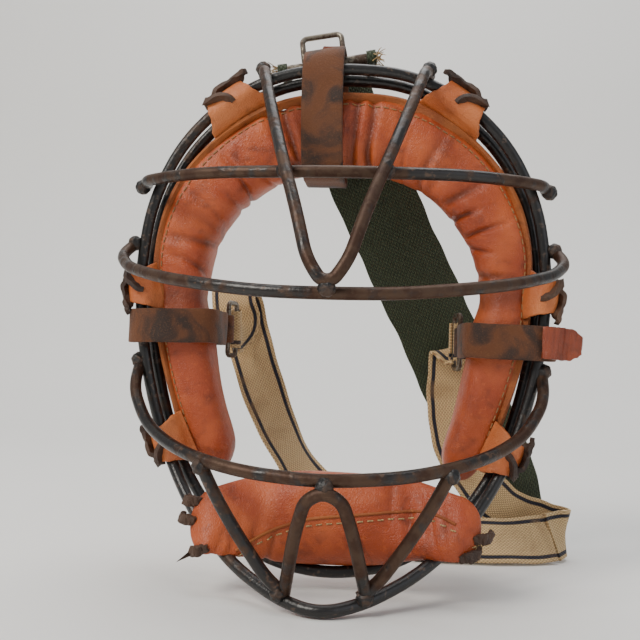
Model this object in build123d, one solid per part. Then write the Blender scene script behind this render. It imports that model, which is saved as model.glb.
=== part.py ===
"""A wire catcher's mask with stuffed leather pads, a suede strap harness and webbing.

Frame, in millimetres: +X to the right of somebody looking at the front of the cage, +Y back
towards the wearer, +Z up. The origin is in the middle of the face opening, in the plane of the
pads' backs, where the wearer's face meets the mask.
"""

from build123d import *
import math
import os

# ---- driving dimensions -------------------------------------------------------------------

WIRE = 5.5  # cage wire diameter
RING_Y = -30.0  # plane of the front ring
RING_PITCH = 9.0  # the rear ring stands this far behind the front one
RING_TOP = 139.0  # top of the front ring's centre line
RING_HALF = 99.0  # half width of the front ring's centre line
RING_STEP = 3.0  # the rear ring is this much smaller all round
CHIN_TIP = (-98.0, -106.5)  # Y and Z of the front ring's prow
REAR_CHIN = (-52.0, -101.5)  # Y and Z of the rear ring's lowest point

PAD_BACK = 0.0
PAD_THICK = 33.0
PAD_WALL = 1.6  # leather cover
PAD_HUB_Z = 38.0  # centre that the pad's upper arch is struck from

CHIN_X = 2.5  # the chin pad is sewn in a little to the right
CHIN_Z = -75.0

STRAP_THICK = 2.2
SIDE_STRAP_WIDTH = 16.5
TOP_STRAP_WIDTH = 20.0
TOP_STRAP_X = -9.5
LEFT_STRAP_Z = 10.5
RIGHT_STRAP_Z = 7.0
STRAP_FRONT = -38.6
STRAP_BACK = 3.2
TOP_STRAP_BACK = 6.2  # the top strap also goes round the crown webbing

TAB_THICK = 1.8
TAB_REACH = WIRE / 2 + RING_STEP / 2 + 1.2  # a tab's inside, from the middle line of the two rings
STUD_LIFT = 2.2

ROLLER_LENGTH = 40.0
ROLLER_OUTSIDE = 5.4
ROLLER_BORE = 3.4
ROD = 3.24
ROD_LENGTH = 50.0
ROLLER_CENTRE = (-10.0, -21.0, 143.4)
ROLLER_TILT = 9.0  # degrees, right end up

BUCKLE_WIRE = 3.0
BUCKLE_WIDTH = 21.5
BUCKLE_HEIGHT = 28.0
BUCKLE_BAR = (-13.0, 9.7, 146.0)
BUCKLE_LEAN = 20.0  # degrees back from upright

LOOP_WIRE = 2.6
LOOP_HEIGHT = 28.0
LOOP_REACH = 11.0
LOOP_BAR = (61.0, 6.5)  # X and Y of the bar that each side loop swings on
LOOP_SPLAY = 12.0  # degrees that a loop points towards the middle at rest
RUNNING = 0.08  # radial clearance of a wire in its leather fold
FOLD_WALL = 1.7

ELASTIC_WIDTH = 25.0
ELASTIC_THICK = 1.5
CROWN_WIDTH = 42.0
CROWN_THICK = 1.7

os.makedirs("parts", exist_ok=True)
welded = []


def save(name, shape):
    """Write one node, after a check that it is made of solids."""
    solids = shape.solids()
    if not solids:
        raise ValueError(f"{name} holds no solid")
    whole = solids[0] if len(solids) == 1 else Compound(children=list(solids))
    export_step(whole, f"parts/{name}.step")
    return whole


# ---- routes and sections --------------------------------------------------------------------


def corner_radius(before, corner, after, share):
    """The largest arc that the two runs at a corner leave room for."""
    one, two = Vector(*corner) - Vector(*before), Vector(*after) - Vector(*corner)
    half_turn = math.radians(one.get_angle(two)) / 2
    return share * min(one.length, two.length) / math.tan(half_turn)


def route(points, closed=False, share=0.46):
    """Straight runs joined by tangent arcs through a list of points."""
    count = len(points)
    corners = range(count) if closed else range(1, count - 1)
    radii = [corner_radius(points[i - 1], points[i], points[(i + 1) % count], share) for i in corners]
    return FilletPolyline(*points, radius=radii, close=closed)


def both_sides(half):
    """A route from the left end through the middle to the right end; half starts in the middle."""
    left = [(-x, y, z) for x, y, z in reversed(half) if x > 0.01]
    return left + list(half)


def ring_around(half):
    """A closed route: half runs from the top down the right side to the bottom."""
    left = [(-x, y, z) for x, y, z in reversed(half) if x > 0.01]
    return list(half) + left


def tube(points, diameter, closed=False):
    """A round wire along a route."""
    path = route(points, closed)
    section = Plane(origin=path @ 0, z_dir=path % 0) * Circle(diameter / 2)
    return sweep(section, path=path)


def weld(name, wire):
    """Cope a wire where it meets the wires that are already there, and write it."""
    for other in welded:
        wire = wire - other
    wire = max(wire.solids(), key=lambda piece: piece.volume)
    welded.append(wire)
    return save(name, wire)


def webbing(stations, width, thick):
    """A flat band through stations, each a place and the direction of the band's width there."""
    places = [Vector(*place) for place, across in stations]
    sections = []
    for i, (place, across) in enumerate(stations):
        along = places[min(i + 1, len(places) - 1)] - places[max(i - 1, 0)]
        side = Vector(*across) - along * (Vector(*across).dot(along) / along.length**2)
        sections.append(Plane(origin=place, x_dir=side, z_dir=along) * Rectangle(width, thick))
    return loft(sections, ruled=True)


def bar_loop(width, height, wire):
    """A rectangular loop of wire in the XZ plane, its lower bar centred on the origin."""
    w = width / 2
    corners = [(-w, 0, 0), (w, 0, 0), (w, 0, height), (-w, 0, height)]
    path = FilletPolyline(*corners, radius=wire, close=True)
    section = Plane(origin=path @ 0, z_dir=path % 0) * Circle(wire / 2)
    return sweep(section, path=path)


def pipe(outer, inner, length):
    """A hollow cylinder about Z, centred on the origin."""
    return Cylinder(outer, length) - Cylinder(inner, length)


# ---- the wire cage --------------------------------------------------------------------------


def front_ring():
    y, chin_y, chin_z = RING_Y, CHIN_TIP[0], CHIN_TIP[1]
    half = [
        (0, y, RING_TOP), (31, y, 136), (58, y, 123), (80, y, 101), (94, y, 72), (RING_HALF, y, 38),
        (97, y, 5), (90, y - 1, -27), (78, y - 6, -57), (60, y - 23, -81), (39, y - 42, -96),
        (18, chin_y + 10, -104), (0, chin_y, chin_z),
    ]
    return tube(ring_around(half), WIRE, closed=True)


def rear_ring():
    y, s, chin_y, chin_z = RING_Y + RING_PITCH, RING_STEP, REAR_CHIN[0], REAR_CHIN[1]
    half = [
        (0, y, RING_TOP - s), (30, y, 136 - s), (56, y, 123 - s), (78, y, 101 - s), (91, y, 71),
        (RING_HALF - s, y, 38), (94, y, 5), (87, y - 1, -27), (76, y - 5, -57), (56, y - 16, -82),
        (30, chin_y + 4, -97), (0, chin_y, chin_z),
    ]
    return tube(ring_around(half), WIRE, closed=True)


def brow_bar():
    half = [(0, -77, 78.5), (28, -75, 78.5), (56, -67, 79.5), (80, -53, 80), (95, -39, 80.5), (97.5, -28, 80.5)]
    return tube(both_sides(half), WIRE)


def eye_bar():
    half = [
        (0, -104, 23.5), (28, -102, 24), (54, -92.5, 27), (78, -76, 31), (98, -54, 37),
        (106, -39, 44), (101.5, -27, 52),
    ]
    return tube(both_sides(half), WIRE)


def sight_v_bar():
    half = [
        (0, -109.4, 25), (8.5, -107, 37), (15, -96, 60), (22.5, -82, 82), (32, -59, 112),
        (39, -38, 136), (41, -25, 136.5),
    ]
    return tube(both_sides(half), WIRE)


def mouth_bar():
    half = [
        (0, -110, -51.5), (33, -103.5, -49.5), (56, -90, -46), (73, -73, -41.5), (87, -55, -34.5),
        (97, -41, -20), (97.5, -28, -6),
    ]
    return tube(both_sides(half), WIRE)


def chin_arch():
    half = [(0, -112, -55), (7.5, -110.5, -59), (12, -104, -74), (17.5, -88, -103)]
    return Location((1.5, 0, 0)) * tube(both_sides(half), WIRE)


def chin_strut(side):
    points = [(52, -93, -48), (45, -92.5, -62), (36, -91, -77), (24, -89.5, -94), (16, -90, -101)]
    return tube([(side * x, y, z) for x, y, z in points], WIRE)


def weld_bead(spot):
    """One lump of weld metal, coped to the wires that it joins."""
    bead = Location(spot) * Rotation(24, 37, 11) * scale(Sphere(4.2), by=(1, 1, 0.85))
    for wire in welded:
        if wire.distance_to(Vertex(*spot)) < 4.2:
            bead = bead - wire
    return max(bead.solids(), key=lambda piece: piece.volume)


def weld_beads():
    """Lumps of weld metal where the bars cross or land."""
    spots = [(x * side, y, z) for side in (-1, 1) for x, y, z in (
        (98.5, -30.5, 79), (101.5, -30.5, 50.5), (40.4, -31.5, 138.3), (22.2, -79.6, 78.8),
        (97.5, -31, -7), (51.5, -93, -50), (18, -89.8, -101))]
    spots += [(0, -107.5, 26), (1.5, -111, -54)]
    return Compound(children=[weld_bead(spot) for spot in spots])


# ---- the pads -------------------------------------------------------------------------------


def main_pad_stations():
    """Inner point, outer point and thickness down the right half of the horseshoe."""
    arch = [(90, 50, 89), (68, 53.5, 90), (47, 57, 91), (27, 61, 92), (9, 65, 92.5)]
    stations = []
    for degrees, inner, outer in arch:
        c, s = math.cos(math.radians(degrees)), math.sin(math.radians(degrees))
        stations.append(((c * inner, PAD_HUB_Z + s * inner), (c * outer, PAD_HUB_Z + s * outer), PAD_THICK))
    stations += [
        ((66.5, 27), (91.8, 29), PAD_THICK), ((63.5, 8), (89.6, 7), PAD_THICK),
        ((60, -11), (84.8, -14), PAD_THICK - 1), ((56, -30), (78.6, -33), PAD_THICK - 3),
        ((52.5, -44), (73, -47), PAD_THICK - 7), ((53.5, -52), (69, -54), PAD_THICK - 14),
    ]
    return stations


def main_pad_solid(inset):
    """The stuffed horseshoe, inset from its outside by a wall thickness."""
    half = main_pad_stations()
    left = [((-a[0], a[1]), (-b[0], b[1]), t) for a, b, t in reversed(half[1:])]
    sections = []
    for inner, outer, thick in left + half:
        radial = Vector(outer[0] - inner[0], 0, outer[1] - inner[1])
        middle = Vector((inner[0] + outer[0]) / 2, PAD_BACK - PAD_THICK / 2, (inner[1] + outer[1]) / 2)
        plane = Plane(origin=middle, x_dir=radial, z_dir=radial.cross(Vector(0, 1, 0)))
        sections.append(plane * Ellipse(radial.length / 2 - inset, thick / 2 - inset))
    return loft(sections, ruled=True)


def chin_pad_solid(inset):
    """The boat-shaped chin cushion, bowed forward in the middle."""
    half = [(0, -47, 21.5, 12), (19, -47, 20, 12), (36, -48.5, 14.5, 10.5), (47, -51, 10, 6.5)]
    full = [(-x, y, h, t) for x, y, h, t in reversed(half[1:])] + half
    sections = []
    for i, (x, y, high, thick) in enumerate(full):
        before, after = full[max(i - 1, 0)], full[min(i + 1, len(full) - 1)]
        along = Vector(after[0] - before[0], after[1] - before[1], 0)
        plane = Plane(origin=(x + CHIN_X, y, CHIN_Z), x_dir=(0, 0, 1), z_dir=along)
        sections.append(plane * Ellipse(high - inset, thick - inset))
    return loft(sections, ruled=True)


def chin_ear(side):
    """The flat leather end of the chin pad, laced over the front of both rings."""
    stations = [((48, -58.5, -72), 19), ((55, -64, -74), 19), ((62, -61, -76), 17), ((69, -55, -77), 12)]
    sections = []
    for i, ((x, y, z), high) in enumerate(stations):
        before, after = stations[max(i - 1, 0)][0], stations[min(i + 1, len(stations) - 1)][0]
        along = Vector(side * (after[0] - before[0]), after[1] - before[1], 0)
        plane = Plane(origin=(side * x + CHIN_X * (side > 0), y, z), x_dir=(0, 0, 1), z_dir=along)
        sections.append(plane * Rectangle(high, TAB_THICK))
    return loft(sections, ruled=True)


def halves(solid, plane):
    """Two panels of a cover, either side of its seam."""
    return split(solid, bisect_by=plane, keep=Keep.TOP), split(solid, bisect_by=plane, keep=Keep.BOTTOM)


def pad_welt(pad):
    """The raw leather flange that stands out of the main pad's front outer seam."""
    points = []
    for inner, outer, thick in main_pad_stations()[:-1]:
        out = Vector(outer[0] - inner[0], 0, outer[1] - inner[1]).normalized()
        points.append((outer[0] - 1.2 * out.X, PAD_BACK - PAD_THICK + 4.2, outer[1] - 1.2 * out.Z))
    return tube(both_sides(points), 3.4) - pad


# ---- tabs and ties --------------------------------------------------------------------------


def tab_places():
    """Name, place, outward direction and width of each of the six tabs."""
    half = [
        ("upper", (57, -25.5, 122), (17, 22), 25), ("side", (98.5, -25.5, 29), (10, -1), 18),
        ("lower", (82, -30.2, -47), (9, -4), 18),
    ]
    return [
        (f"{word}_{name}_tab", Vector(side * x, y, z), Vector(side * out_x, 0, out_z).normalized(), width)
        for side, word in ((-1, "left"), (1, "right"))
        for name, (x, y, z), (out_x, out_z), width in half
    ]


def tab_plane(spot, out):
    """Local X points out of the cage, local Y back, midway between the two rings."""
    return Plane(origin=spot - out * RING_STEP / 2, x_dir=out, z_dir=out.cross(Vector(0, 1, 0)))


def tab(spot, out, width, pad):
    """A leather tab that wraps both rings, open towards the pad."""
    outer = SlotCenterToCenter(RING_PITCH, 2 * (TAB_REACH + TAB_THICK), rotation=90)
    inner = SlotCenterToCenter(RING_PITCH, 2 * TAB_REACH, rotation=90)
    mouth = Pos(-9, 0) * Rectangle(14, 40)
    return extrude(tab_plane(spot, out) * (outer - inner - mouth), amount=width / 2, both=True) - pad


def tab_stud(spot, out):
    """An oval button on the outside of a tab."""
    plane = tab_plane(spot, out)
    base = plane.origin + out * (TAB_REACH + TAB_THICK)
    stud = extrude(Plane(origin=base, x_dir=(0, 1, 0), z_dir=out) * Ellipse(3.6, 4.6), amount=STUD_LIFT)
    return chamfer(stud.faces().sort_by(lambda face: face.center().dot(out))[-1].edges(), 0.7)


def tab_thong(spot, out, width):
    """The leather thong that closes a tab, behind its button: a short bar that lies along the tab."""
    plane = tab_plane(spot, out)
    base = plane.origin + out * (TAB_REACH + TAB_THICK + 1.1)
    return Plane(origin=base, x_dir=out, z_dir=plane.z_dir) * Pos(0, 7.5, 0) * Box(2, 3, width * 0.7)


# ---- straps ---------------------------------------------------------------------------------


def band(long, deep, width):
    """A strap that is closed round a rectangle, its hollow along Z."""
    outer = RectangleRounded(long, deep, 9)
    inner = RectangleRounded(long - 2 * STRAP_THICK, deep - 2 * STRAP_THICK, 9 - STRAP_THICK)
    return extrude(outer - inner, amount=width / 2, both=True)


def side_strap(side, z, outer_x, inner_x):
    """A suede strap buckled round the pad and both rings."""
    place = (side * (outer_x + inner_x) / 2, (STRAP_FRONT + STRAP_BACK) / 2, z)
    return Location(place) * band(outer_x - inner_x, STRAP_BACK - STRAP_FRONT, SIDE_STRAP_WIDTH)


def top_strap():
    """The suede strap round the middle of the pad, up over the rings and the roller."""
    top, bottom = ROLLER_CENTRE[2] + 7.1, 84.0
    place = (TOP_STRAP_X, (STRAP_FRONT + TOP_STRAP_BACK) / 2, (top + bottom) / 2)
    shape = band(top - bottom, TOP_STRAP_BACK - STRAP_FRONT, TOP_STRAP_WIDTH)
    return Location(place) * Rotation(0, 90, 0) * shape


def strap_tongue():
    """The right strap's free end, past the buckled band and out to the side."""
    outline = [(0, -6.5), (7, -6), (10.5, -2), (10.5, 2), (7, 6), (0, 6.5)]
    shape = extrude(make_face(Polyline(*outline, close=True)), amount=2)
    return Location((104.4, -34.0, RIGHT_STRAP_Z), (-90, 0, 0)) * shape


def roller_place():
    """Local Z along the roller, from its left end to its right one."""
    return Location(ROLLER_CENTRE, (0, 90 - ROLLER_TILT, 0))


def buckle_place():
    """Local X along the bar that the crown loop swings on, local Z up the loop."""
    return Location(BUCKLE_BAR, (0, -ROLLER_TILT, 0)) * Rotation(-BUCKLE_LEAN, 0, 0)


def buckle_fold():
    """The leather fold on the top strap's back that the buckle loop swings in."""
    outer = BUCKLE_WIRE / 2 + RUNNING + FOLD_WALL
    bore = BUCKLE_WIRE / 2 + RUNNING
    length = TOP_STRAP_WIDTH - 6
    place = Location(BUCKLE_BAR, (0, 90 - ROLLER_TILT, 0))
    tail = Location((BUCKLE_BAR[0], TOP_STRAP_BACK + 0.95, BUCKLE_BAR[2] - 12)) * Box(length, FOLD_WALL, 24)
    tail = tail - place * Cylinder(outer - 0.1, 2 * length)
    return place * pipe(outer, bore, length) + tail


def buckle_tongue():
    """The crown end of the strap, standing up behind the buckle loop."""
    shape = Location((3.5, 4.2, 15)) * Box(15, 1.8, 17)
    return buckle_place() * shape


def loop_place(side, z):
    """Local X along the swinging bar, upwards; local Z from that bar to the free one."""
    back = Vector(0, 1, 0).rotate(Axis.Z, side * LOOP_SPLAY)
    return Plane(origin=(side * LOOP_BAR[0], LOOP_BAR[1], z), x_dir=(0, 0, 1), z_dir=back).location


def loop_fold(side, z):
    """The leather fold on a side strap's back that its wire loop swings in."""
    outer = LOOP_WIRE / 2 + RUNNING + FOLD_WALL
    bore = LOOP_WIRE / 2 + RUNNING
    length = SIDE_STRAP_WIDTH - 2
    place = Location((side * LOOP_BAR[0], LOOP_BAR[1], z))
    tail = Location((side * (LOOP_BAR[0] + 9), STRAP_BACK + 0.95, z)) * Box(18, FOLD_WALL, length)
    return place * pipe(outer, bore, length) + (tail - place * Cylinder(outer - 0.1, 2 * length))


def elastic_fold(side, z):
    """The sewn end of an elastic arm, round its loop's free bar."""
    bore = LOOP_WIRE / 2 + RUNNING
    ring = Rotation(0, 90, 0) * pipe(bore + ELASTIC_THICK, bore, ELASTIC_WIDTH - 2 * LOOP_WIRE)
    return loop_place(side, z) * Location((0, 0, LOOP_REACH)) * ring


LEFT_ELASTIC = [
    ((-58.2, 21.4, 10.5), (0, 0, 1)), ((-58.6, 27.5, 10.8), (-0.1, 0, 1)), ((-60, 33, 15), (-0.75, -0.1, 0.6)),
    ((-63.5, 35, 25), (-1, 0, 0)), ((-64.5, 39, 33), (-1, 0, 0)), ((-62, 43.5, 28), (-1, 0, 0)),
    ((-57, 43, 10), (-0.97, 0, -0.25)), ((-50, 37, -10), (-0.93, -0.2, -0.3)), ((-41, 33, -32), (-0.8, -0.5, -0.3)),
    ((-29, 31, -56), (-0.55, -0.75, -0.35)), ((-9, 27, -80), (-0.4, -0.5, -0.75)), ((24, 22, -94), (-0.1, -0.5, -0.85)),
    ((58, 20, -97), (0, -0.6, -0.8)), ((88, 22, -97), (0, -0.6, -0.8)), ((106, 27, -96.5), (0.1, -0.5, -0.86)),
]
RIGHT_ELASTIC = [
    ((58.2, 20.6, 7), (0, 0, 1)), ((58, 24, 5), (0.4, 0.1, 0.9)), ((58, 26, -3), (0.9, 0.1, 0.3)),
    ((58, 26, -26), (0.97, 0.1, 0.15)), ((62, 27, -48), (0.85, 0.15, 0.5)), ((76, 34, -70), (0.6, 0.1, 0.75)),
    ((94, 43, -86), (0.3, 0, 0.95)), ((112, 45, -92), (0.05, 0, 1)), ((121, 38.5, -94), (0.1, 0.25, 0.95)),
    ((114, 30, -95.8), (0.1, 0.45, 0.87)),
]
CROWN_STRAP = [
    ((-10.5, 10.2, 139), (0.97, 0, 0.2)), ((-6.5, 9.6, 128), (0.93, 0, 0.35)), ((1, 9.4, 113), (0.91, 0, 0.42)),
    ((10, 10, 94), (0.91, 0, 0.42)), ((29, 20, 55), (0.91, 0, 0.42)), ((48, 33, 18), (0.91, 0, 0.42)),
    ((65, 39, -18), (0.91, 0, 0.42)), ((80, 48, -50), (0.93, 0, 0.36)), ((90, 60, -74), (0.97, 0, 0.25)),
    ((94, 64, -90), (1, 0, 0.1)),
]


def crown_ears():
    """The webbing's two narrow ends, wound on the roller's rod either side of the top strap."""
    ears = []
    for end in (-1, 1):
        wound = roller_place() * Location((0, 0, end * (ROD_LENGTH / 2 - 2.6))) * pipe(3.3, ROD / 2 + 0.05, 4.6)
        middle = wound.center()
        strip = Location((middle.X, middle.Y + 16.6, middle.Z + 1)) * Box(4.4, 29, CROWN_THICK)
        ears.append(wound + strip)
    return Compound(children=[ear.solids()[0] for ear in ears])


def crown_tail():
    """The crown webbing's flat end, sewn under the elastic."""
    stations = [((92, 34, -108.2), (0, 1, 0)), ((64, 28, -108.2), (0, 1, 0)), ((40, 26, -108.2), (0, 1, 0))]
    return webbing(stations, 20, CROWN_THICK)


# ---- the assembly ---------------------------------------------------------------------------


def make_cage():
    for name, builder in (
        ("front_ring", front_ring), ("rear_ring", rear_ring), ("eye_bar", eye_bar), ("brow_bar", brow_bar),
        ("mouth_bar", mouth_bar), ("sight_v_bar", sight_v_bar), ("chin_arch", chin_arch),
    ):
        weld(name, builder())
    weld("left_chin_strut", chin_strut(-1))
    weld("right_chin_strut", chin_strut(1))
    save("weld_beads", weld_beads())


def make_pads():
    pad, filling = main_pad_solid(0), main_pad_solid(PAD_WALL)
    seam = Plane(origin=(0, PAD_BACK - PAD_THICK / 2, 0), z_dir=(0, -1, 0))
    front, back = halves(pad - filling, seam)
    save("main_pad_front_cover", front)
    save("main_pad_back_cover", back)
    save("main_pad_filling", filling)
    save("main_pad_welt", pad_welt(pad))
    chin, chin_filling = chin_pad_solid(0), chin_pad_solid(PAD_WALL)
    upper, lower = halves(chin - chin_filling, Plane(origin=(0, 0, CHIN_Z - 1), z_dir=(0, 0.15, 1)))
    save("chin_pad_upper_panel", upper)
    save("chin_pad_lower_panel", lower)
    save("chin_pad_filling", chin_filling)
    save("left_chin_ear", chin_ear(-1))
    save("right_chin_ear", chin_ear(1))
    return pad


def make_tabs(pad):
    studs, thongs = [], []
    for name, spot, out, width in tab_places():
        save(name, tab(spot, out, width, pad))
        studs.append(tab_stud(spot, out))
        thongs.append(tab_thong(spot, out, width))
    save("tab_studs", Compound(children=studs))
    save("tab_thongs", Compound(children=thongs))


def make_straps():
    save("top_strap", top_strap())
    save("left_strap", side_strap(-1, LEFT_STRAP_Z, 104.2, 59.0))
    save("right_strap", side_strap(1, RIGHT_STRAP_Z, 104.2, 58.5))
    save("right_strap_tongue", strap_tongue())
    save("strap_roller", roller_place() * pipe(ROLLER_OUTSIDE / 2, ROLLER_BORE / 2, ROLLER_LENGTH))
    save("roller_rod", roller_place() * Cylinder(ROD / 2, ROD_LENGTH))
    save("buckle_loop", buckle_place() * bar_loop(BUCKLE_WIDTH, BUCKLE_HEIGHT, BUCKLE_WIRE))
    save("buckle_fold", buckle_fold())
    save("buckle_tongue", buckle_tongue())
    for side, word, z in ((-1, "left", LEFT_STRAP_Z), (1, "right", RIGHT_STRAP_Z)):
        save(f"{word}_wire_loop", loop_place(side, z) * bar_loop(LOOP_HEIGHT, LOOP_REACH, LOOP_WIRE))
        save(f"{word}_loop_fold", loop_fold(side, z))
        save(f"{word}_elastic_fold", elastic_fold(side, z))
    save("left_elastic", webbing(LEFT_ELASTIC, ELASTIC_WIDTH, ELASTIC_THICK))
    save("right_elastic", webbing(RIGHT_ELASTIC, ELASTIC_WIDTH, ELASTIC_THICK))
    save("crown_strap", webbing(CROWN_STRAP, CROWN_WIDTH, CROWN_THICK))
    save("crown_strap_ears", crown_ears())
    save("crown_strap_tail", crown_tail())


make_cage()
make_tabs(make_pads())
make_straps()
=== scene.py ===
"""The looks of a wire catcher's mask: stuffed leather pads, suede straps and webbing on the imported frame."""

import logging
import math
from dataclasses import dataclass, field
from enum import Enum

import bpy
import numpy as np
from mathutils import Matrix, Vector
from mathutils.bvhtree import BVHTree


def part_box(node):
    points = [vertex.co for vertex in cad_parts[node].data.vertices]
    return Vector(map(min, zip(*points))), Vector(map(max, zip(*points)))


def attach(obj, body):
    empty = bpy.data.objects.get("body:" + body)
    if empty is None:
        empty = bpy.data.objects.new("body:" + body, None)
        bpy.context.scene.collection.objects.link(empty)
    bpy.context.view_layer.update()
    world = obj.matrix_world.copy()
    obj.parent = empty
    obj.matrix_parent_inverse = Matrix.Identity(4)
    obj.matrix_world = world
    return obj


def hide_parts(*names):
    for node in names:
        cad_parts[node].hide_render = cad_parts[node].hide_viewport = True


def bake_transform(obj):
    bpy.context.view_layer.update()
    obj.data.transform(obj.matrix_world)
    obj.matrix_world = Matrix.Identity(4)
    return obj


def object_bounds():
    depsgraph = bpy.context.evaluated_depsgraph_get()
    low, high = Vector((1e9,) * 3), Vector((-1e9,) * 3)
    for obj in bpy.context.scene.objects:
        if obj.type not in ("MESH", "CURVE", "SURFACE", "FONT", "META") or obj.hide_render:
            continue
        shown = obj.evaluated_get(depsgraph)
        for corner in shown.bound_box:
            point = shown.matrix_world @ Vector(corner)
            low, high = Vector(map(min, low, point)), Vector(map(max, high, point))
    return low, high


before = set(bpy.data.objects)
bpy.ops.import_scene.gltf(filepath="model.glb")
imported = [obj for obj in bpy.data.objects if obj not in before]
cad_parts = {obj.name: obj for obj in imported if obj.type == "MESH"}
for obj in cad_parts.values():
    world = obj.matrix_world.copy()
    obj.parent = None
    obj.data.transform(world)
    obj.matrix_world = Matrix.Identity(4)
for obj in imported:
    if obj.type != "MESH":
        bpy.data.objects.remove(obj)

LOG = logging.getLogger("catchers_mask")
MM = 0.001
TURN = 6.2832  # a full turn, in radians
DEEPEST_CREASE = 6.0  # millimetres that gathers may pull a pad in
TAPE_BLEND = ((7.0, 18.1, -2.0), (-0.4, 10.8, -20.0))  # the run over which each arm leaves its loop, in millimetres
CAD_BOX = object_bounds()
Colour = tuple[float, float, float, float]
Station = tuple[float, float, float, float, float, float]
Socket = bpy.types.NodeSocket
Tree = bpy.types.NodeTree
Node = bpy.types.Node
Piece = bpy.types.Object
Material = bpy.types.Material


class Slot(str, Enum):
    """The record's material slots."""

    CAGE = "cage_paint"
    WELD = "weld_metal"
    PAD = "pad_leather"
    WELT = "welt_leather"
    TAB = "tab_leather"
    SUEDE = "suede"
    OXBLOOD = "oxblood_leather"
    LACE = "dark_lace"
    STEEL = "buckle_steel"
    ELASTIC = "elastic_web"
    CROWN = "crown_web"


def tint(red: int, green: int, blue: int) -> Colour:
    """A display colour as the linear colour that a shader takes."""
    linear = [((c / 255 + 0.055) / 1.055) ** 2.4 if c > 10 else c / 255 / 12.92 for c in (red, green, blue)]
    return linear[0], linear[1], linear[2], 1.0


# ---- shading ----------------------------------------------------------------------------------


@dataclass
class Wiring:
    """A shader tree that is being wired."""

    tree: Tree

    def add(self, kind: str, **settings: object) -> Node:
        """A new node of one kind, with its settings."""
        node = self.tree.nodes.new(kind)
        for key, value in settings.items():
            setattr(node, key, value)
        return node

    def feed(self, socket: Socket, value: object) -> None:
        """Links a socket into another one, or sets a plain value on it."""
        if isinstance(value, Socket):
            self.tree.links.new(value, socket)
        else:
            socket.default_value = value

    def sum(self, operation: str, first: object, second: object = 0.0) -> Socket:
        """One sum on two values."""
        node = self.add("ShaderNodeMath", operation=operation)
        self.feed(node.inputs[0], first)
        self.feed(node.inputs[1], second)
        return node.outputs[0]

    def times(self, first: object, second: object) -> Socket:
        """One value times another."""
        return self.sum("MULTIPLY", first, second)

    def plus(self, first: object, second: object) -> Socket:
        """One value plus another."""
        return self.sum("ADD", first, second)

    def noise(self, vector: object, scale: float, detail: float = 4.0, twist: float = 0.0) -> Socket:
        """Cloudy values from 0 to 1."""
        node = self.add("ShaderNodeTexNoise")
        self.feed(node.inputs["Vector"], vector)
        self.feed(node.inputs["Scale"], scale)
        node.inputs["Detail"].default_value = detail
        node.inputs["Distortion"].default_value = twist
        return node.outputs["Fac"]

    def step(self, value: object, low: float, high: float, to_low: float = 0.0, to_high: float = 1.0) -> Socket:
        """A smooth step between two values."""
        node = self.add("ShaderNodeMapRange", interpolation_type="SMOOTHSTEP")
        for place, item in enumerate((value, low, high, to_low, to_high)):
            self.feed(node.inputs[place], item)
        return node.outputs[0]

    def blend(self, share: object, first: object, second: object) -> Socket:
        """A mix of two colours."""
        node = self.add("ShaderNodeMix", data_type="RGBA")
        self.feed(node.inputs[0], share)
        self.feed(node.inputs[6], first)
        self.feed(node.inputs[7], second)
        return node.outputs[2]

    def group(self, tree: Tree, **values: object) -> Node:
        """A shared effect with its own values."""
        node = self.add("ShaderNodeGroup", node_tree=tree)
        for key, value in values.items():
            self.feed(node.inputs[key.replace("_", " ")], value)
        return node


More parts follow.
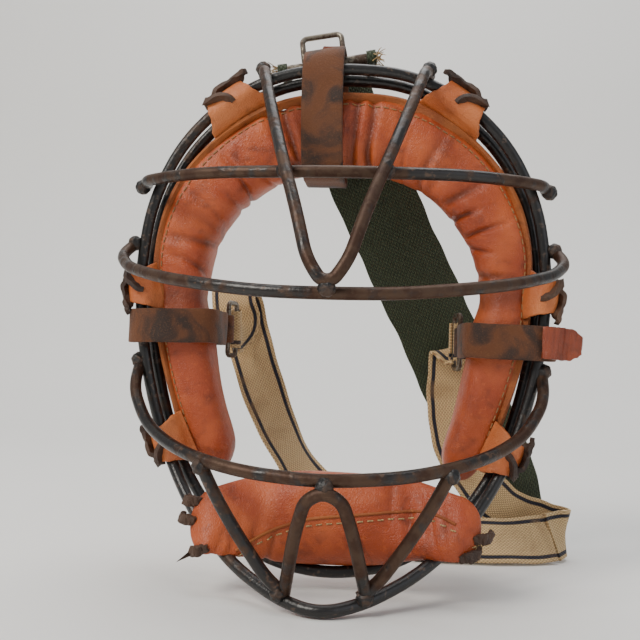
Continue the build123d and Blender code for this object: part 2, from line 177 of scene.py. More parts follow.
class SharedEffects:
    """Effects that several finishes use, each built once as a shader group."""

    def __init__(self) -> None:
        """Builds the groups."""
        self.hide_grain = self._hide_grain()
        self.rubbing = self._rubbing()
        self.weave = self._weave()

    @staticmethod
    def _group(name: str, inputs: dict[str, str], outputs: list[str]) -> tuple[Wiring, Node, Node]:
        """An empty group.

        Args:
            name: the group's name.
            inputs: each input's name and socket kind.
            outputs: the names of the outputs, which are all values.

        Returns:
            The wiring, and the group's input and output nodes.
        """
        tree = bpy.data.node_groups.new(name, "ShaderNodeTree")
        for key, kind in inputs.items():
            tree.interface.new_socket(key, in_out="INPUT", socket_type=kind)
        for key in outputs:
            tree.interface.new_socket(key, in_out="OUTPUT", socket_type="NodeSocketFloat")
        wiring = Wiring(tree)
        return wiring, wiring.add("NodeGroupInput"), wiring.add("NodeGroupOutput")

    def _hide_grain(self) -> Tree:
        """Pebbled grain with fine creases: Height, and Tone for the colour in the grain."""
        wiring, start, end = self._group(
            "hide grain", {"Vector": "NodeSocketVector", "Scale": "NodeSocketFloat"}, ["Height", "Tone"]
        )
        pebbles = wiring.add("ShaderNodeTexVoronoi", feature="DISTANCE_TO_EDGE")
        wiring.feed(pebbles.inputs["Vector"], start.outputs["Vector"])
        wiring.feed(pebbles.inputs["Scale"], start.outputs["Scale"])
        coarse = wiring.noise(start.outputs["Vector"], wiring.times(start.outputs["Scale"], 0.18), 6, 1.5)
        cells = wiring.step(pebbles.outputs["Distance"], 0.0, 0.25)
        height = wiring.plus(wiring.times(cells, 0.35), wiring.times(coarse, 0.65))
        wiring.feed(end.inputs["Height"], height)
        wiring.feed(end.inputs["Tone"], coarse)
        return wiring.tree

    def _rubbing(self) -> Tree:
        """Patchy wear: Mask is 1 where the surface is rubbed, Speck is small marks."""
        wiring, start, end = self._group(
            "rubbing",
            {"Vector": "NodeSocketVector", "Scale": "NodeSocketFloat", "Amount": "NodeSocketFloat"},
            ["Mask", "Speck"],
        )
        vector, scale = start.outputs["Vector"], start.outputs["Scale"]
        broad = wiring.noise(vector, scale, 3)
        fine = wiring.noise(vector, wiring.times(scale, 7.0), 8)
        both = wiring.plus(wiring.times(broad, 0.6), wiring.times(fine, 0.4))
        raised = wiring.plus(both, wiring.times(wiring.sum("SUBTRACT", start.outputs["Amount"], 0.5), 0.4))
        wiring.feed(end.inputs["Mask"], wiring.step(raised, 0.46, 0.56))
        specks = wiring.noise(vector, wiring.times(scale, 16.0), 2)
        wiring.feed(end.inputs["Speck"], wiring.step(specks, 0.6, 0.68))
        return wiring.tree

    def _weave(self) -> Tree:
        """Ribbed webbing on a map in metres: Height, and Tone, which is low between the ribs and lets the webbing paint
        shade there.
        """
        wiring, start, end = self._group(
            "weave",
            {"Map": "NodeSocketVector", "Across": "NodeSocketFloat", "Along": "NodeSocketFloat"},
            ["Height", "Tone"],
        )
        parts = wiring.add("ShaderNodeSeparateXYZ")
        wiring.feed(parts.inputs[0], start.outputs["Map"])
        warp = wiring.sum("SINE", wiring.times(wiring.sum("DIVIDE", parts.outputs[0], start.outputs["Across"]), TURN))
        drift = wiring.times(wiring.sum("SIGN", warp), 1.5708)
        turns = wiring.times(wiring.sum("DIVIDE", parts.outputs[1], start.outputs["Along"]), TURN)
        weft = wiring.sum("SINE", wiring.plus(turns, drift))
        height = wiring.plus(wiring.times(wiring.sum("ABSOLUTE", warp), 0.45), wiring.times(weft, 0.35))
        wiring.feed(end.inputs["Height"], height)
        # Tone follows the height, so the grooves between the ribs come out low; the webbing paints shade there from it.
        wiring.feed(end.inputs["Tone"], wiring.step(height, -0.25, 0.5))
        return wiring.tree


EFFECTS = SharedEffects()


def start_material(name: str) -> tuple[Material, Wiring, Node, Socket]:
    """A node material with one Principled shader.

    Args:
        name: the material's name.

    Returns:
        The material, its wiring, its shader node and the object's own coordinates.
    """
    material = bpy.data.materials.new(name)
    material.use_nodes = True
    wiring = Wiring(material.node_tree)
    place = wiring.add("ShaderNodeTexCoord").outputs["Object"]
    return material, wiring, material.node_tree.nodes["Principled BSDF"], place


def add_bump(wiring: Wiring, shader: Node, height: object, depth: float) -> None:
    """Feeds a height in metres into the shader's normal.

    Args:
        wiring: the material's wiring.
        shader: its Principled shader.
        height: a value from 0 to 1.
        depth: the height in metres of a value of 1.
    """
    bump = wiring.add("ShaderNodeBump")
    bump.inputs["Strength"].default_value = 1.0
    bump.inputs["Distance"].default_value = depth
    wiring.feed(bump.inputs["Height"], height)
    wiring.feed(shader.inputs["Normal"], bump.outputs["Normal"])


@dataclass(frozen=True)
class CagePaint:
    """Black paint on steel wire, rubbed and chipped to brown metal."""

    name: str
    wear: float
    paint: Colour = tint(24, 25, 27)
    rubbed: Colour = tint(92, 78, 68)
    rust: Colour = tint(88, 52, 34)

    def make(self) -> Material:
        """Builds the material."""
        material, wiring, shader, place = start_material(self.name)
        rub = wiring.group(EFFECTS.rubbing, Vector=place, Scale=22.0, Amount=self.wear)
        metal = wiring.blend(wiring.step(wiring.noise(place, 140.0, 6), 0.42, 0.6), self.rubbed, self.rust)
        worn = wiring.blend(rub.outputs["Mask"], self.paint, metal)
        wiring.feed(shader.inputs["Base Color"], wiring.blend(rub.outputs["Speck"], worn, self.rubbed))
        wiring.feed(shader.inputs["Metallic"], wiring.times(rub.outputs["Mask"], 0.55))
        grit = wiring.noise(place, 900.0, 4)
        rough = wiring.plus(wiring.times(rub.outputs["Mask"], 0.16), wiring.times(grit, 0.2))
        wiring.feed(shader.inputs["Roughness"], wiring.plus(rough, 0.22))
        relief = wiring.sum("SUBTRACT", wiring.times(grit, 0.35), wiring.times(rub.outputs["Mask"], 0.5))
        add_bump(wiring, shader, relief, 0.0004)
        return material


@dataclass(frozen=True)
class WeldMetal:
    """Lumpy weld metal under old paint."""

    name: str = "weld_metal"

    def make(self) -> Material:
        """Builds the material."""
        material, wiring, shader, place = start_material(self.name)
        lumps = wiring.noise(place, 260.0, 5, 0.6)
        tone = wiring.blend(wiring.step(lumps, 0.4, 0.65), tint(22, 21, 21), tint(78, 62, 52))
        wiring.feed(shader.inputs["Base Color"], tone)
        wiring.feed(shader.inputs["Roughness"], wiring.step(lumps, 0.3, 0.7, 0.35, 0.6))
        wiring.feed(shader.inputs["Metallic"], wiring.step(lumps, 0.4, 0.65, 0.1, 0.5))
        add_bump(wiring, shader, lumps, 0.0012)
        return material


@dataclass(frozen=True)
class Hide:
    """Smooth or raw leather with grain, stains, rubbed ridges and painted shade in its creases."""

    name: str
    middle: Colour
    light: Colour
    dark: Colour
    grain: float = 900.0
    depth: float = 0.00025
    rough: float = 0.42
    stains: float = 0.5

    def make(self) -> Material:
        """Builds the material."""
        material, wiring, shader, place = start_material(self.name)
        grain = wiring.group(EFFECTS.hide_grain, Vector=place, Scale=self.grain)
        rub = wiring.group(EFFECTS.rubbing, Vector=place, Scale=26.0, Amount=0.42)
        clouds = wiring.noise(place, 24.0, 5, 0.8)
        mottle = wiring.noise(place, 110.0, 6, 0.4)
        tone = wiring.blend(wiring.step(clouds, 0.38, 0.68), self.middle, self.light)
        tone = wiring.blend(wiring.step(mottle, 0.52, 0.8, 0.0, 0.55), tone, self.dark)
        stain = wiring.step(wiring.noise(place, 40.0, 8, 1.2), 0.6, 0.72, 0.0, self.stains)
        tone = wiring.blend(stain, tone, self.dark)
        tone = wiring.blend(wiring.times(rub.outputs["Speck"], 0.4), tone, self.light)
        # Painted shade: the colour is pulled towards the dark tone by the crease depth, where gathers pull the pad in.
        crease = wiring.add("ShaderNodeAttribute", attribute_name="crease").outputs["Fac"]
        tone = wiring.blend(wiring.step(crease, 0.15, 1.0, 0.0, 0.75), tone, self.dark)
        wiring.feed(shader.inputs["Base Color"], tone)
        gloss = wiring.plus(wiring.times(grain.outputs["Tone"], 0.22), self.rough - 0.1)
        wiring.feed(shader.inputs["Roughness"], gloss)
        wrinkles = wiring.noise(place, 150.0, 5, 2.2)
        relief = wiring.plus(grain.outputs["Height"], wiring.times(wrinkles, 1.6))
        add_bump(wiring, shader, relief, self.depth)
        return material


@dataclass(frozen=True)
class Suede:
    """Napped leather, darkened with handling."""

    name: str
    middle: Colour
    dark: Colour

    def make(self) -> Material:
        """Builds the material."""
        material, wiring, shader, place = start_material(self.name)
        nap = wiring.noise(place, 1400.0, 6)
        patches = wiring.noise(place, 55.0, 6, 1.0)
        tone = wiring.blend(wiring.step(patches, 0.42, 0.62), self.middle, self.dark)
        tone = wiring.blend(wiring.step(nap, 0.5, 0.75, 0.0, 0.35), tone, tint(128, 82, 48))
        wiring.feed(shader.inputs["Base Color"], tone)
        wiring.feed(shader.inputs["Roughness"], wiring.step(patches, 0.3, 0.7, 0.92, 0.72))
        shader.inputs["Sheen Weight"].default_value = 0.08
        shader.inputs["Sheen Roughness"].default_value = 0.5
        add_bump(wiring, shader, wiring.plus(nap, wiring.times(patches, 1.5)), 0.0004)
        return material


@dataclass(frozen=True)
class Webbing:
    """Woven tape, on the piece's own map in metres, with or without striped selvedges, with grime and painted shade
    between its ribs.
    """

    name: str
    ground: Colour
    # The colour of both the painted shade between the ribs and the grime.
    rib_shade_and_grime: Colour
    across: float
    along: float
    width: float
    stripe: Colour | None = None

    def make(self) -> Material:
        """Builds the material."""
        material, wiring, shader, place = start_material(self.name)
        tape = wiring.add("ShaderNodeUVMap", uv_map="UVMap").outputs["UV"]
        weave = wiring.group(EFFECTS.weave, Map=tape, Across=self.across, Along=self.along)
        # Painted shade: the colour darkens between the ribs, where the weave is low.
        tone = wiring.blend(weave.outputs["Tone"], self.rib_shade_and_grime, self.ground)
        if self.stripe:
            parts = wiring.add("ShaderNodeSeparateXYZ")
            wiring.feed(parts.inputs[0], tape)
            edge = wiring.sum(
                "SUBTRACT", self.width / 2,
                wiring.sum("ABSOLUTE", wiring.sum("SUBTRACT", parts.outputs[0], self.width / 2)),
            )
            line = wiring.times(wiring.step(edge, 0.0016, 0.0021), wiring.step(edge, 0.0036, 0.0041, 1.0, 0.0))
            tone = wiring.blend(line, tone, self.stripe)
        grime = wiring.step(wiring.noise(place, 38.0, 7, 1.0), 0.5, 0.75, 0.0, 0.55)
        tone = wiring.blend(grime, tone, self.rib_shade_and_grime)
        wiring.feed(shader.inputs["Base Color"], tone)
        wiring.feed(shader.inputs["Roughness"], wiring.step(weave.outputs["Tone"], 0.0, 1.0, 0.95, 0.8))
        shader.inputs["Sheen Weight"].default_value = 0.15
        fuzz = wiring.noise(place, 1800.0, 4)
        add_bump(wiring, shader, wiring.plus(weave.outputs["Height"], wiring.times(fuzz, 0.35)), 0.0005)
        return material


@dataclass(frozen=True)
class Steel:
    """Tarnished plated steel."""

    name: str = "tarnished_steel"

    def make(self) -> Material:
        """Builds the material."""
        material, wiring, shader, place = start_material(self.name)
        rub = wiring.group(EFFECTS.rubbing, Vector=place, Scale=70.0, Amount=0.5)
        tone = wiring.blend(rub.outputs["Mask"], tint(120, 112, 100), tint(70, 54, 42))
        wiring.feed(shader.inputs["Base Color"], wiring.blend(rub.outputs["Speck"], tone, tint(40, 30, 24)))
        wiring.feed(shader.inputs["Roughness"], wiring.step(rub.outputs["Mask"], 0.0, 1.0, 0.34, 0.6))
        wiring.feed(shader.inputs["Metallic"], wiring.step(rub.outputs["Mask"], 0.0, 1.0, 0.9, 0.45))
        add_bump(wiring, shader, wiring.noise(place, 700.0, 5), 0.0002)
        return material


@dataclass(frozen=True)
class Thread:
    """Waxed cotton thread."""

    name: str
    colour: Colour

    def make(self) -> Material:
        """Builds the material."""
        material, wiring, shader, place = start_material(self.name)
        fibre = wiring.noise(place, 1200.0, 5, 0.5)
        wiring.feed(
            shader.inputs["Base Color"], wiring.blend(wiring.step(fibre, 0.35, 0.7), tint(120, 96, 66), self.colour),
        )
        wiring.feed(shader.inputs["Roughness"], wiring.step(fibre, 0.3, 0.7, 0.8, 0.65))
        add_bump(wiring, shader, fibre, 0.0003)
        return material


class Finishes:
    """Every finish, made once."""

    def __init__(self) -> None:
        """Makes the materials."""
        self.rings = CagePaint(
            "ring_paint", 0.3, paint=tint(23, 21, 20), rubbed=tint(72, 58, 48), rust=tint(62, 42, 30),
        ).make()
        self.bars = CagePaint(
            "bar_paint", 0.56, paint=tint(22, 17, 14), rubbed=tint(74, 54, 40), rust=tint(60, 38, 25),
        ).make()
        self.weld = WeldMetal().make()
        self.pad = Hide("pad_leather", tint(156, 62, 22), tint(186, 88, 40), tint(70, 26, 11)).make()
        self.welt = Hide("welt_leather", tint(136, 68, 26), tint(166, 94, 42), tint(60, 28, 12), rough=0.7).make()
        self.tab = Hide("tab_leather", tint(178, 90, 40), tint(200, 116, 62), tint(104, 46, 20), rough=0.5).make()
        self.oxblood = Hide("oxblood_leather", tint(104, 38, 18), tint(140, 62, 32), tint(44, 16, 9), rough=0.38).make()
        self.lace = Hide("dark_lace", tint(48, 32, 24), tint(86, 60, 42), tint(20, 14, 12), rough=0.6).make()
        self.suede = Suede("suede", tint(96, 56, 30), tint(44, 26, 15)).make()
        self.steel = Steel().make()
        self.thread = Thread("cream_thread", tint(206, 172, 116)).make()
        self.pad_thread = Thread("tan_thread", tint(176, 118, 66)).make()
        self.elastic = Webbing(
            "elastic_web", tint(222, 190, 138), tint(146, 112, 72), 0.0016, 0.002, 0.025, tint(20, 20, 36)
        ).make()
        self.crown = Webbing("crown_web", tint(58, 68, 42), tint(28, 34, 22), 0.0022, 0.0026, 0.042).make()


# ---- modelling --------------------------------------------------------------------------------


def deselect() -> None:
    """Leaves object mode with nothing selected."""
    bpy.ops.object.select_all(action="DESELECT")


def select_only(*pieces: Piece) -> None:
    """Selects pieces and makes the first one active."""
    deselect()
    for piece in pieces:
        piece.select_set(True)
    bpy.context.view_layer.objects.active = pieces[0]


def join(name: str, pieces: list[Piece]) -> Piece:
    """Joins pieces as one, under a name."""
    select_only(*pieces)
    bpy.ops.object.join()
    pieces[0].name = name
    return pieces[0]


def spread(points: np.ndarray) -> np.ndarray:
    """The distance along a line of points, at each of them."""
    return np.concatenate([[0], np.cumsum(np.linalg.norm(np.diff(points, axis=0), axis=1))])


def sample(track: np.ndarray, at: np.ndarray, first: int, last: int) -> np.ndarray:
    """Some of a track's columns, read at fractional rows."""
    steps = np.arange(len(track))
    return np.stack([np.interp(at, steps, track[:, k]) for k in range(first, last)], axis=1)


def points_of(piece: Piece) -> np.ndarray:
    """A mesh's points, in millimetres."""
    co = np.empty(len(piece.data.vertices) * 3)
    piece.data.vertices.foreach_get("co", co)
    return co.reshape(-1, 3) / MM


def set_points(piece: Piece, points: np.ndarray) -> None:
    """Moves a mesh's points to places in millimetres."""
    piece.data.vertices.foreach_set("co", (points * MM).ravel())
    piece.data.update()


def apply_modifier(piece: Piece, kind: str, **settings: object) -> None:
    """Adds one modifier and applies it.

    Args:
        piece: the object.
        kind: the modifier's type.
        settings: its settings.
    """
    modifier = piece.modifiers.new(kind.title(), kind)
    for key, value in settings.items():
        setattr(modifier, key, value)
    select_only(piece)
    bpy.ops.object.modifier_apply(modifier=modifier.name)


def smooth_shade(piece: Piece, degrees: float = 40.0) -> None:
    """Smooth shading that keeps edges sharper than an angle."""
    select_only(piece)
    bpy.ops.object.shade_smooth_by_angle(angle=math.radians(degrees))


def smooth_track(stations: list[Station], per_run: int = 24) -> np.ndarray:
    """A smooth track through stations.

    Args:
        stations: places in millimetres, each with the band's width direction.
        per_run: how many steps each run is given.

    Returns:
        An array of places and directions, evenly spaced along the track.
    """
    rows = np.array(stations, float)
    chord = spread(rows[:, :3])
    slope = np.gradient(rows, chord, axis=0)
    dense = []
    for i in range(len(rows) - 1):
        span = chord[i + 1] - chord[i]
        t = np.linspace(0, 1, per_run, endpoint=i == len(rows) - 2)[:, None]
        dense.append(
            (2 * t**3 - 3 * t**2 + 1) * rows[i] + (t**3 - 2 * t**2 + t) * span * slope[i]
            + (3 * t**2 - 2 * t**3) * rows[i + 1] + (t**3 - t**2) * span * slope[i + 1]
        )
    track = np.concatenate(dense)
    length = spread(track[:, :3])
    even = np.linspace(0, length[-1], len(track))
    return np.stack([np.interp(even, length, track[:, k]) for k in range(track.shape[1])], axis=1)


@dataclass
class Band:
    """A flat strap or tape laid along a track."""

    name: str
    stations: list[Station]
    width: float
    thick: float
    rows: int = 60
    columns: int = 8
    closed: bool = False
    ripple: float = 0.3
    widths: tuple[float, ...] = (1.0,)
    cup: float = 0.0
    fray: float = 0.0
    seed: int = 1

    def build(self) -> Piece:
        """Lays a grid along the track and gives it thickness."""
        deselect()
        bpy.ops.mesh.primitive_grid_add(x_subdivisions=self.columns, y_subdivisions=self.rows, size=1.0, calc_uvs=True)
        piece = bpy.context.object
        piece.name = self.name
        track = smooth_track(self.stations)
        grid = points_of(piece) * MM
        share, aside = grid[:, 1] + 0.5, grid[:, 0]
        at = share * (len(track) - 1)
        place, across = sample(track, at, 0, 3), sample(track, at, 3, 6)
        slope = np.gradient(track[:, :3], axis=0)
        if self.closed:
            slope[0] = slope[-1] = (slope[0] + slope[-1]) / 2
        along = sample(slope, at, 0, 3)
        along /= np.linalg.norm(along, axis=1)[:, None]
        across -= along * np.sum(across * along, axis=1)[:, None]
        across /= np.linalg.norm(across, axis=1)[:, None]
        up = np.cross(along, across)
        chance = np.random.default_rng(self.seed)
        phase = chance.uniform(0, 6.28, 4)
        wave = share * TURN
        lift = self.ripple * (np.sin(3 * wave + phase[0] + 2 * aside) + 0.6 * np.sin(7 * wave + phase[1] - 3 * aside))
        if self.closed:
            lift *= np.sin(share * math.pi)
        stretch = np.interp(share, np.linspace(0, 1, len(self.widths)), self.widths)
        edge = 0.012 * (np.sin(5 * wave + phase[2]) + np.sin(11 * wave + phase[3])) * (not self.closed)
        lift += self.cup * (0.25 - aside**2) * 4
        points = place + across * (aside * self.width * (stretch + edge))[:, None] + up * lift[:, None]
        if self.fray:
            ends = np.isclose(share, 1.0)
            points[ends] += along[ends] * chance.uniform(-self.fray, self.fray, ends.sum())[:, None]
        set_points(piece, points)
        length = np.linalg.norm(np.diff(track[:, :3], axis=0), axis=1).sum()
        corner = np.empty(len(piece.data.loops), int)
        piece.data.loops.foreach_get("vertex_index", corner)
        tape = np.stack([(aside + 0.5) * self.width * MM, share * length * MM], axis=1)[corner]
        piece.data.uv_layers[0].name = "UVMap"
        piece.data.uv_layers[0].data.foreach_set("uv", tape.astype(np.float32).ravel())
        if self.closed:
            apply_modifier(piece, "WELD", merge_threshold=0.00005)
        apply_modifier(piece, "SOLIDIFY", thickness=self.thick * MM, offset=0.0, use_even_offset=True)
        apply_modifier(piece, "BEVEL", width=self.thick * 0.22 * MM, segments=2, limit_method="ANGLE")
        smooth_shade(piece, 50)
        return piece


def tube_along(name: str, runs: list[list[tuple[float, float, float]]], radius: float, tip: float = 0.6) -> Piece:
    """Thin round strands.

    Args:
        name: the piece's name.
        runs: the points of each strand, in millimetres.
        radius: a strand's radius, in millimetres.
        tip: the share of the radius that its far end keeps.

    Returns:
        One mesh of all the strands.
    """
    curve = bpy.data.curves.new(name, "CURVE")
    curve.dimensions = "3D"
    curve.bevel_depth = radius * MM
    curve.bevel_resolution = 2
    curve.resolution_u = 6
    curve.use_fill_caps = True
    for run in runs:
        spline = curve.splines.new("NURBS")
        spline.points.add(len(run) - 1)
        for i, place in enumerate(run):
            spline.points[i].co = (*[c * MM for c in place], 1.0)
            spline.points[i].radius = 1 - (1 - tip) * i / (len(run) - 1)
        spline.order_u = 3
        spline.use_endpoint_u = True
    strand = bpy.data.objects.new(name, curve)
    bpy.context.scene.collection.objects.link(strand)
    select_only(strand)
    bpy.ops.object.convert(target="MESH")
    piece = bpy.context.object
    smooth_shade(piece, 60)
    return piece


def copies(name: str, model: Piece, places: list[Matrix]) -> Piece:
    """Copies of one model, each with its own mesh, joined as one piece.

    Args:
        name: the piece's name.
        model: the model, in metres about the origin; it is used up.
        places: where each copy goes.

    Returns:
        The joined piece.
    """
    made = []
    for place in places:
        copy = model.copy()
        copy.data = model.data.copy()
        copy.data.transform(place)
        bpy.context.scene.collection.objects.link(copy)
        made.append(copy)
    bpy.data.objects.remove(model)
    return join(name, made)


def facing(place: Vector, along: Vector, out: Vector) -> Matrix:
    """A placement whose local X runs along and local Z points out; place is in millimetres."""
    out = out.normalized()
    along = (along - out * along.dot(out)).normalized()
    turn = Matrix((along, out.cross(along), out)).transposed()
    return Matrix.Translation(place * MM) @ turn.to_4x4()


def dress(piece: Piece, material: Material, slot: Slot | None, body: str, *nodes: str) -> Piece:
    """Gives a piece its finish, its body and the nodes that it stands for.

    Args:
        piece: the piece.
        material: its finish.
        slot: the record's slot, if it has one; not used.
        body: the body that it rides on; an empty name leaves it unattached.
        nodes: the nodes that it replaces.

    Returns:
        The piece.
    """
    piece.data.materials.clear()
    piece.data.materials.append(material)
    if body:
        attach(piece, body)
    if nodes:
        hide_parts(*nodes)
    LOG.info("%s: %d points", piece.name, len(piece.data.vertices))
    return piece


@dataclass
class Pucker:
    """One gathered crease: its place along the pad, half width, depth, reach round the section and slant."""

    place: float
    wide: float
    deep: float
    centre: float
    reach: float
    slant: float


@dataclass
class StuffedForm:
    """A stuffed leather form along a track, closed and crowned at both ends."""

    name: str
    sections: list[tuple[float, float, float, float, float, float, float, float]]
    rings: int
    segments: int
    cap: float
    fullness: float
    corner: float = 1.0
    puckers: list[Pucker] = field(default_factory=list)
    seed: int = 3

    def build(self) -> Piece:
        """Shapes a sphere along the track.

        Returns:
            The piece, with the depth of its creases in an attribute.
        """
        deselect()
        bpy.ops.mesh.primitive_uv_sphere_add(segments=self.segments, ring_count=self.rings, radius=1.0, calc_uvs=True)
        piece = bpy.context.object
        piece.name = self.name
        ball = points_of(piece) * MM
        turn = np.arccos(np.clip(ball[:, 2], -1, 1)) / math.pi
        angle = np.arctan2(ball[:, 1], ball[:, 0])
        near = np.minimum(turn, 1 - turn)
        inside = np.clip(near / self.cap, 0, 1) * math.pi / 2
        swell = np.sin(inside) ** 0.8
        ramp = np.where(near < self.cap, self.cap * (1 - np.cos(inside)), near)
        share = np.where(turn < 0.5, ramp, 1 - ramp)
        track = smooth_track(self.sections)
        at = share * (len(track) - 1)
        middle, side, depth = (sample(track, at, *ends) for ends in ((0, 3), (3, 6), (6, 8)))
        slope = np.gradient(track[:, :3], axis=0)
        along = sample(slope, at, 0, 3)
        along /= np.linalg.norm(along, axis=1)[:, None]
        side /= np.linalg.norm(side, axis=1)[:, None]
        front = np.cross(along, side)
        front *= np.sign(-front[:, 1])[:, None]
        length = np.linalg.norm(np.diff(track[:, :3], axis=0), axis=1).sum()
        run = share * length
        sink = np.zeros(len(ball))
        for pucker in self.puckers:
            around = np.angle(np.exp(1j * (angle - pucker.centre)))
            line = (run - pucker.place * length - pucker.slant * around) / pucker.wide
            sink += pucker.deep * np.exp(-(line**2)) * np.exp(-((around / pucker.reach) ** 4))
        chance = np.random.default_rng(self.seed)
        lumps = sum(
            chance.uniform(0.2, 0.5) * np.sin(
                chance.uniform(0.02, 0.14) * run + chance.integers(1, 5) * angle + chance.uniform(0, 6.28)
            )
            for _ in range(7)
        )
        cosine, sine = np.cos(angle), np.sin(angle)
        power = np.where((cosine > 0) & (sine > 0), self.fullness * self.corner, self.fullness)
        out = np.sign(cosine) * np.abs(cosine) ** power
        fore = np.sign(sine) * np.abs(sine) ** power
        move = -np.minimum(sink, DEEPEST_CREASE) + lumps * 0.5 - 0.6
        points = (
            middle + side * ((depth[:, 0] * out + move * cosine) * swell)[:, None]
            + front * ((depth[:, 1] * fore + move * sine) * swell)[:, None]
        )
        set_points(piece, points)
        # The crease depth, which the leather uses to paint shade into its creases.
        mark = piece.data.attributes.new("crease", "FLOAT", "POINT")
        mark.data.foreach_set("value", np.clip(sink / 3.0, 0, 1).astype(np.float32))
        select_only(piece)
        bpy.ops.object.mode_set(mode="EDIT")
        bpy.ops.mesh.select_all(action="SELECT")
        bpy.ops.mesh.normals_make_consistent(inside=False)
        bpy.ops.object.mode_set(mode="OBJECT")
        bpy.ops.object.shade_smooth()
        return piece


def surface_of(piece: Piece) -> BVHTree:
    """A piece's surface, for finding points on it."""
    return BVHTree.FromObject(piece, bpy.context.evaluated_depsgraph_get())


def stitch_model() -> Piece:
    """One stitch: a short fat thread."""
    deselect()
    bpy.ops.mesh.primitive_cylinder_add(vertices=8, radius=0.00038, depth=0.0027, rotation=(0, math.pi / 2, 0))
    piece = bpy.context.object
    bpy.ops.object.transform_apply(location=True, rotation=True, scale=True)
    apply_modifier(piece, "BEVEL", width=0.0002, segments=2, limit_method="ANGLE")
    smooth_shade(piece, 70)
    return piece


def sew(name: str, surface: BVHTree, line: np.ndarray, pitch: float, ray: Vector) -> Piece:
    """A row of stitches on a surface.

    Args:
        name: the piece's name.
        surface: the sewn surface.
        line: points along the row, in millimetres, clear of the surface.
        pitch: the spacing, in millimetres.
        ray: the direction from the line to the surface.

    Returns:
        The stitches as one piece.
    """
    length = spread(line)
    hits = []
    for at in np.arange(pitch / 2, length[-1], pitch):
        start = Vector([float(np.interp(at, length, line[:, k])) for k in range(3)])
        ahead = Vector([float(np.interp(at + 0.5, length, line[:, k])) for k in range(3)])
        place, normal, _, _ = surface.ray_cast(start * MM, ray, 0.2)
        if place is not None:
            out = normal if normal.dot(ray) < 0 else -normal
            hits.append(facing(place / MM + out * 0.25, ahead - start + Vector((1e-6, 0, 0)), out))
    return copies(name, stitch_model(), hits)


# ---- sub-assemblies ---------------------------------------------------------------------------


@dataclass
class Cage:
    """The welded wire cage, kept as it is and painted."""

    rings: tuple[str, ...] = ("front_ring", "rear_ring")
    bars: tuple[str, ...] = (
        "eye_bar", "brow_bar", "mouth_bar", "sight_v_bar", "chin_arch", "left_chin_strut", "right_chin_strut",
    )
    welds: tuple[tuple[float, float, float], ...] = (
        (99, -30.5, 78.8), (101.8, -30.5, 50.8), (40.6, -31, 138), (22.2, -79.4, 78.4), (98, -30.5, -6.6),
        (52, -93, -49.4), (18, -90, -101.2),
    )

    def dress(self, finishes: Finishes) -> None:
        """Paints the wires and the welds."""
        for names, material in ((self.rings, finishes.rings), (self.bars, finishes.bars)):
            for name in names:
                paint_node(name, material)
        deselect()
        bpy.ops.mesh.primitive_uv_sphere_add(segments=32, ring_count=20, radius=0.0037)
        model = bpy.context.object
        points = points_of(model)
        points *= (1 + 0.07 * np.sin(points[:, [0]] * 1.9 + points[:, [2]]) * np.cos(points[:, [1]] * 1.6))
        set_points(model, points)
        smooth_shade(model, 80)
        spots = [Vector((x * side, y, z)) for side in (-1, 1) for x, y, z in self.welds]
        spots += [Vector((0, -108, 25.4)), Vector((1.5, -110.6, -53.2))]
        places = [facing(spot, Vector((1, i % 3, 0.3)), Vector((0.2 * i, -1, 0.4))) for i, spot in enumerate(spots)]
        dress(copies("weld_lumps", model, places), finishes.weld, Slot.WELD, "root", "weld_beads")


def paint_node(name: str, material: Material) -> None:
    """Gives a kept node its finish."""
    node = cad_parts[name]
    node.data.materials.clear()
    node.data.materials.append(material)
    smooth_shade(node, 35)


